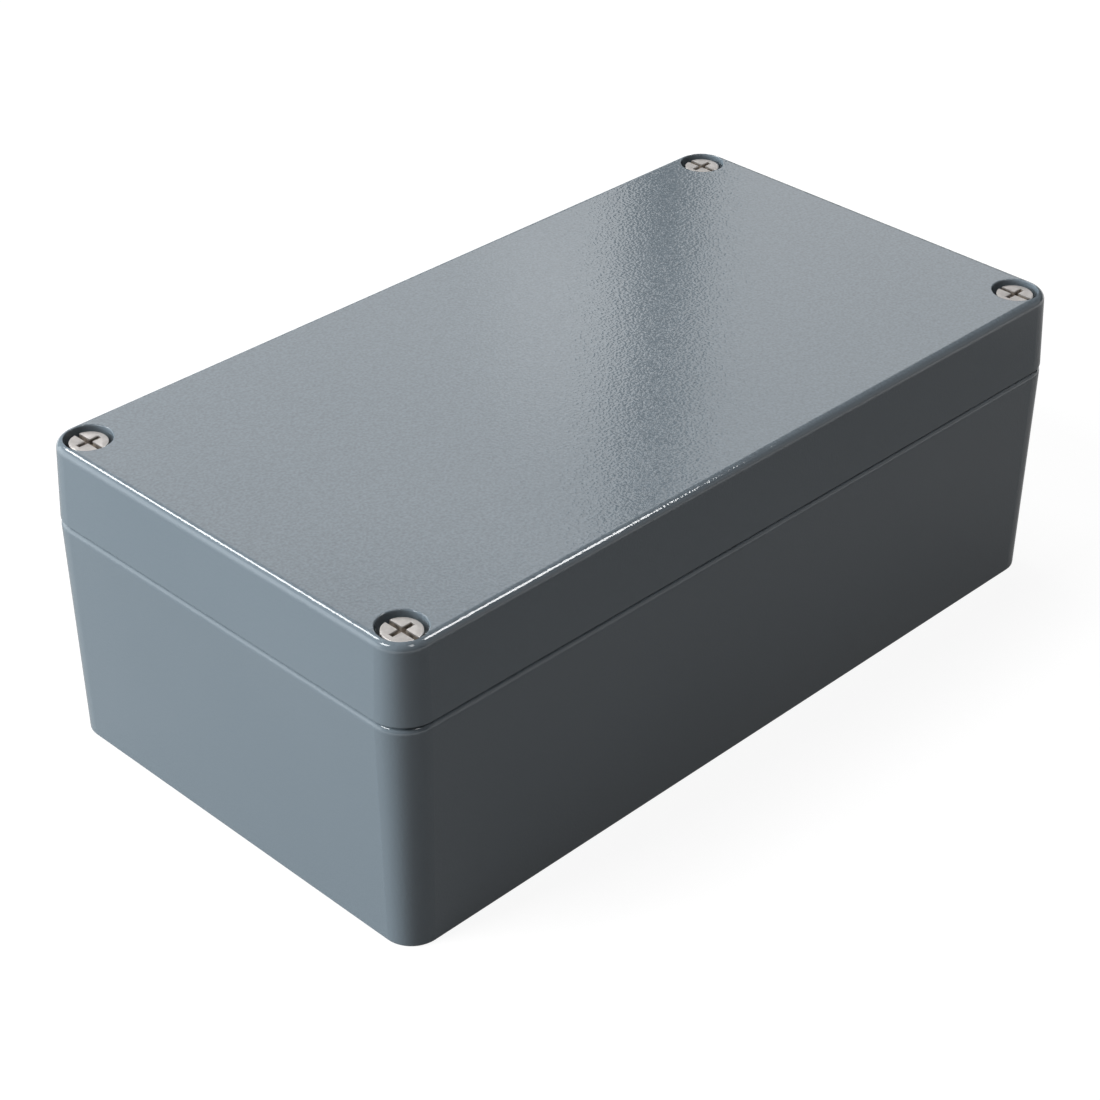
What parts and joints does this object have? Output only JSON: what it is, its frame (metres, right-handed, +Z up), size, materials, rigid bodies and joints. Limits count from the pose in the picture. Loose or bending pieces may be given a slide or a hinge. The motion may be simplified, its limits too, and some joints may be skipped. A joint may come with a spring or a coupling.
{
  "type": "die-cast aluminium enclosure",
  "caption": "Deep die-cast aluminium box with a shallow gasketed lid, recessed slotted corner screws and fixing holes hidden under the lid.",
  "frame": {"origin": "centre of the underside", "axes": "+X along the long side, +Y along the short side, +Z up towards the lid; left is -X and front is -Y"},
  "size_m": [0.22, 0.12, 0.0792],
  "materials": {
    "powder_coated_casting": "satin",
    "seal_rubber": "matte",
    "stainless_steel": "satin",
    "retainer_plastic": "matte",
    "zinc_plated_steel": "satin"
  },
  "bodies": {
    "base": {"base": "powder_coated_casting", "base_earth_clamp_washer": "zinc_plated_steel", "base_earth_lock_washer": "zinc_plated_steel", "base_earth_screw": "zinc_plated_steel"},
    "lid": {"lid": "powder_coated_casting", "lid_gasket": "seal_rubber", "lid_earth_clamp_washer": "zinc_plated_steel", "lid_earth_lock_washer": "zinc_plated_steel", "lid_earth_screw": "zinc_plated_steel"},
    "retainer_front_left": {"screw_retainer_front_left": "retainer_plastic"},
    "screw_front_left": {"lid_screw_front_left": "stainless_steel"},
    "retainer_front_right": {"screw_retainer_front_right": "retainer_plastic"},
    "screw_front_right": {"lid_screw_front_right": "stainless_steel"},
    "retainer_rear_left": {"screw_retainer_rear_left": "retainer_plastic"},
    "screw_rear_left": {"lid_screw_rear_left": "stainless_steel"},
    "retainer_rear_right": {"screw_retainer_rear_right": "retainer_plastic"},
    "screw_rear_right": {"lid_screw_rear_right": "stainless_steel"}
  },
  "joints": [
    {"name": "lid_lift", "type": "slide", "parent": "base", "child": "lid", "axis": [0, 0, 1], "range_m": [0, 0.08]},
    {"name": "screw_front_left_rise", "type": "slide", "parent": "lid", "child": "retainer_front_left", "axis": [0, 0, 1], "range_m": [0, 0.0096]},
    {"name": "screw_front_left_turn", "type": "hinge", "parent": "retainer_front_left", "child": "screw_front_left", "pos_m": [-0.1018, -0.0518, 0.0782], "axis": [0, 0, 1], "range_deg": [0, 4320]},
    {"name": "screw_front_right_rise", "type": "slide", "parent": "lid", "child": "retainer_front_right", "axis": [0, 0, 1], "range_m": [0, 0.0096]},
    {"name": "screw_front_right_turn", "type": "hinge", "parent": "retainer_front_right", "child": "screw_front_right", "pos_m": [0.1018, -0.0518, 0.0782], "axis": [0, 0, 1], "range_deg": [0, 4320]},
    {"name": "screw_rear_left_rise", "type": "slide", "parent": "lid", "child": "retainer_rear_left", "axis": [0, 0, 1], "range_m": [0, 0.0096]},
    {"name": "screw_rear_left_turn", "type": "hinge", "parent": "retainer_rear_left", "child": "screw_rear_left", "pos_m": [-0.1018, 0.0518, 0.0782], "axis": [0, 0, 1], "range_deg": [0, 4320]},
    {"name": "screw_rear_right_rise", "type": "slide", "parent": "lid", "child": "retainer_rear_right", "axis": [0, 0, 1], "range_m": [0, 0.0096]},
    {"name": "screw_rear_right_turn", "type": "hinge", "parent": "retainer_rear_right", "child": "screw_rear_right", "pos_m": [0.1018, 0.0518, 0.0782], "axis": [0, 0, 1], "range_deg": [0, 4320]}
  ],
  "couplings": [
    {"joint": "screw_front_left_turn", "follows": "screw_front_left_rise", "rad_per_m": 7853.9},
    {"joint": "screw_front_right_turn", "follows": "screw_front_right_rise", "rad_per_m": 7853.9},
    {"joint": "screw_rear_left_turn", "follows": "screw_rear_left_rise", "rad_per_m": 7853.9},
    {"joint": "screw_rear_right_turn", "follows": "screw_rear_right_rise", "rad_per_m": 7853.9}
  ]
}
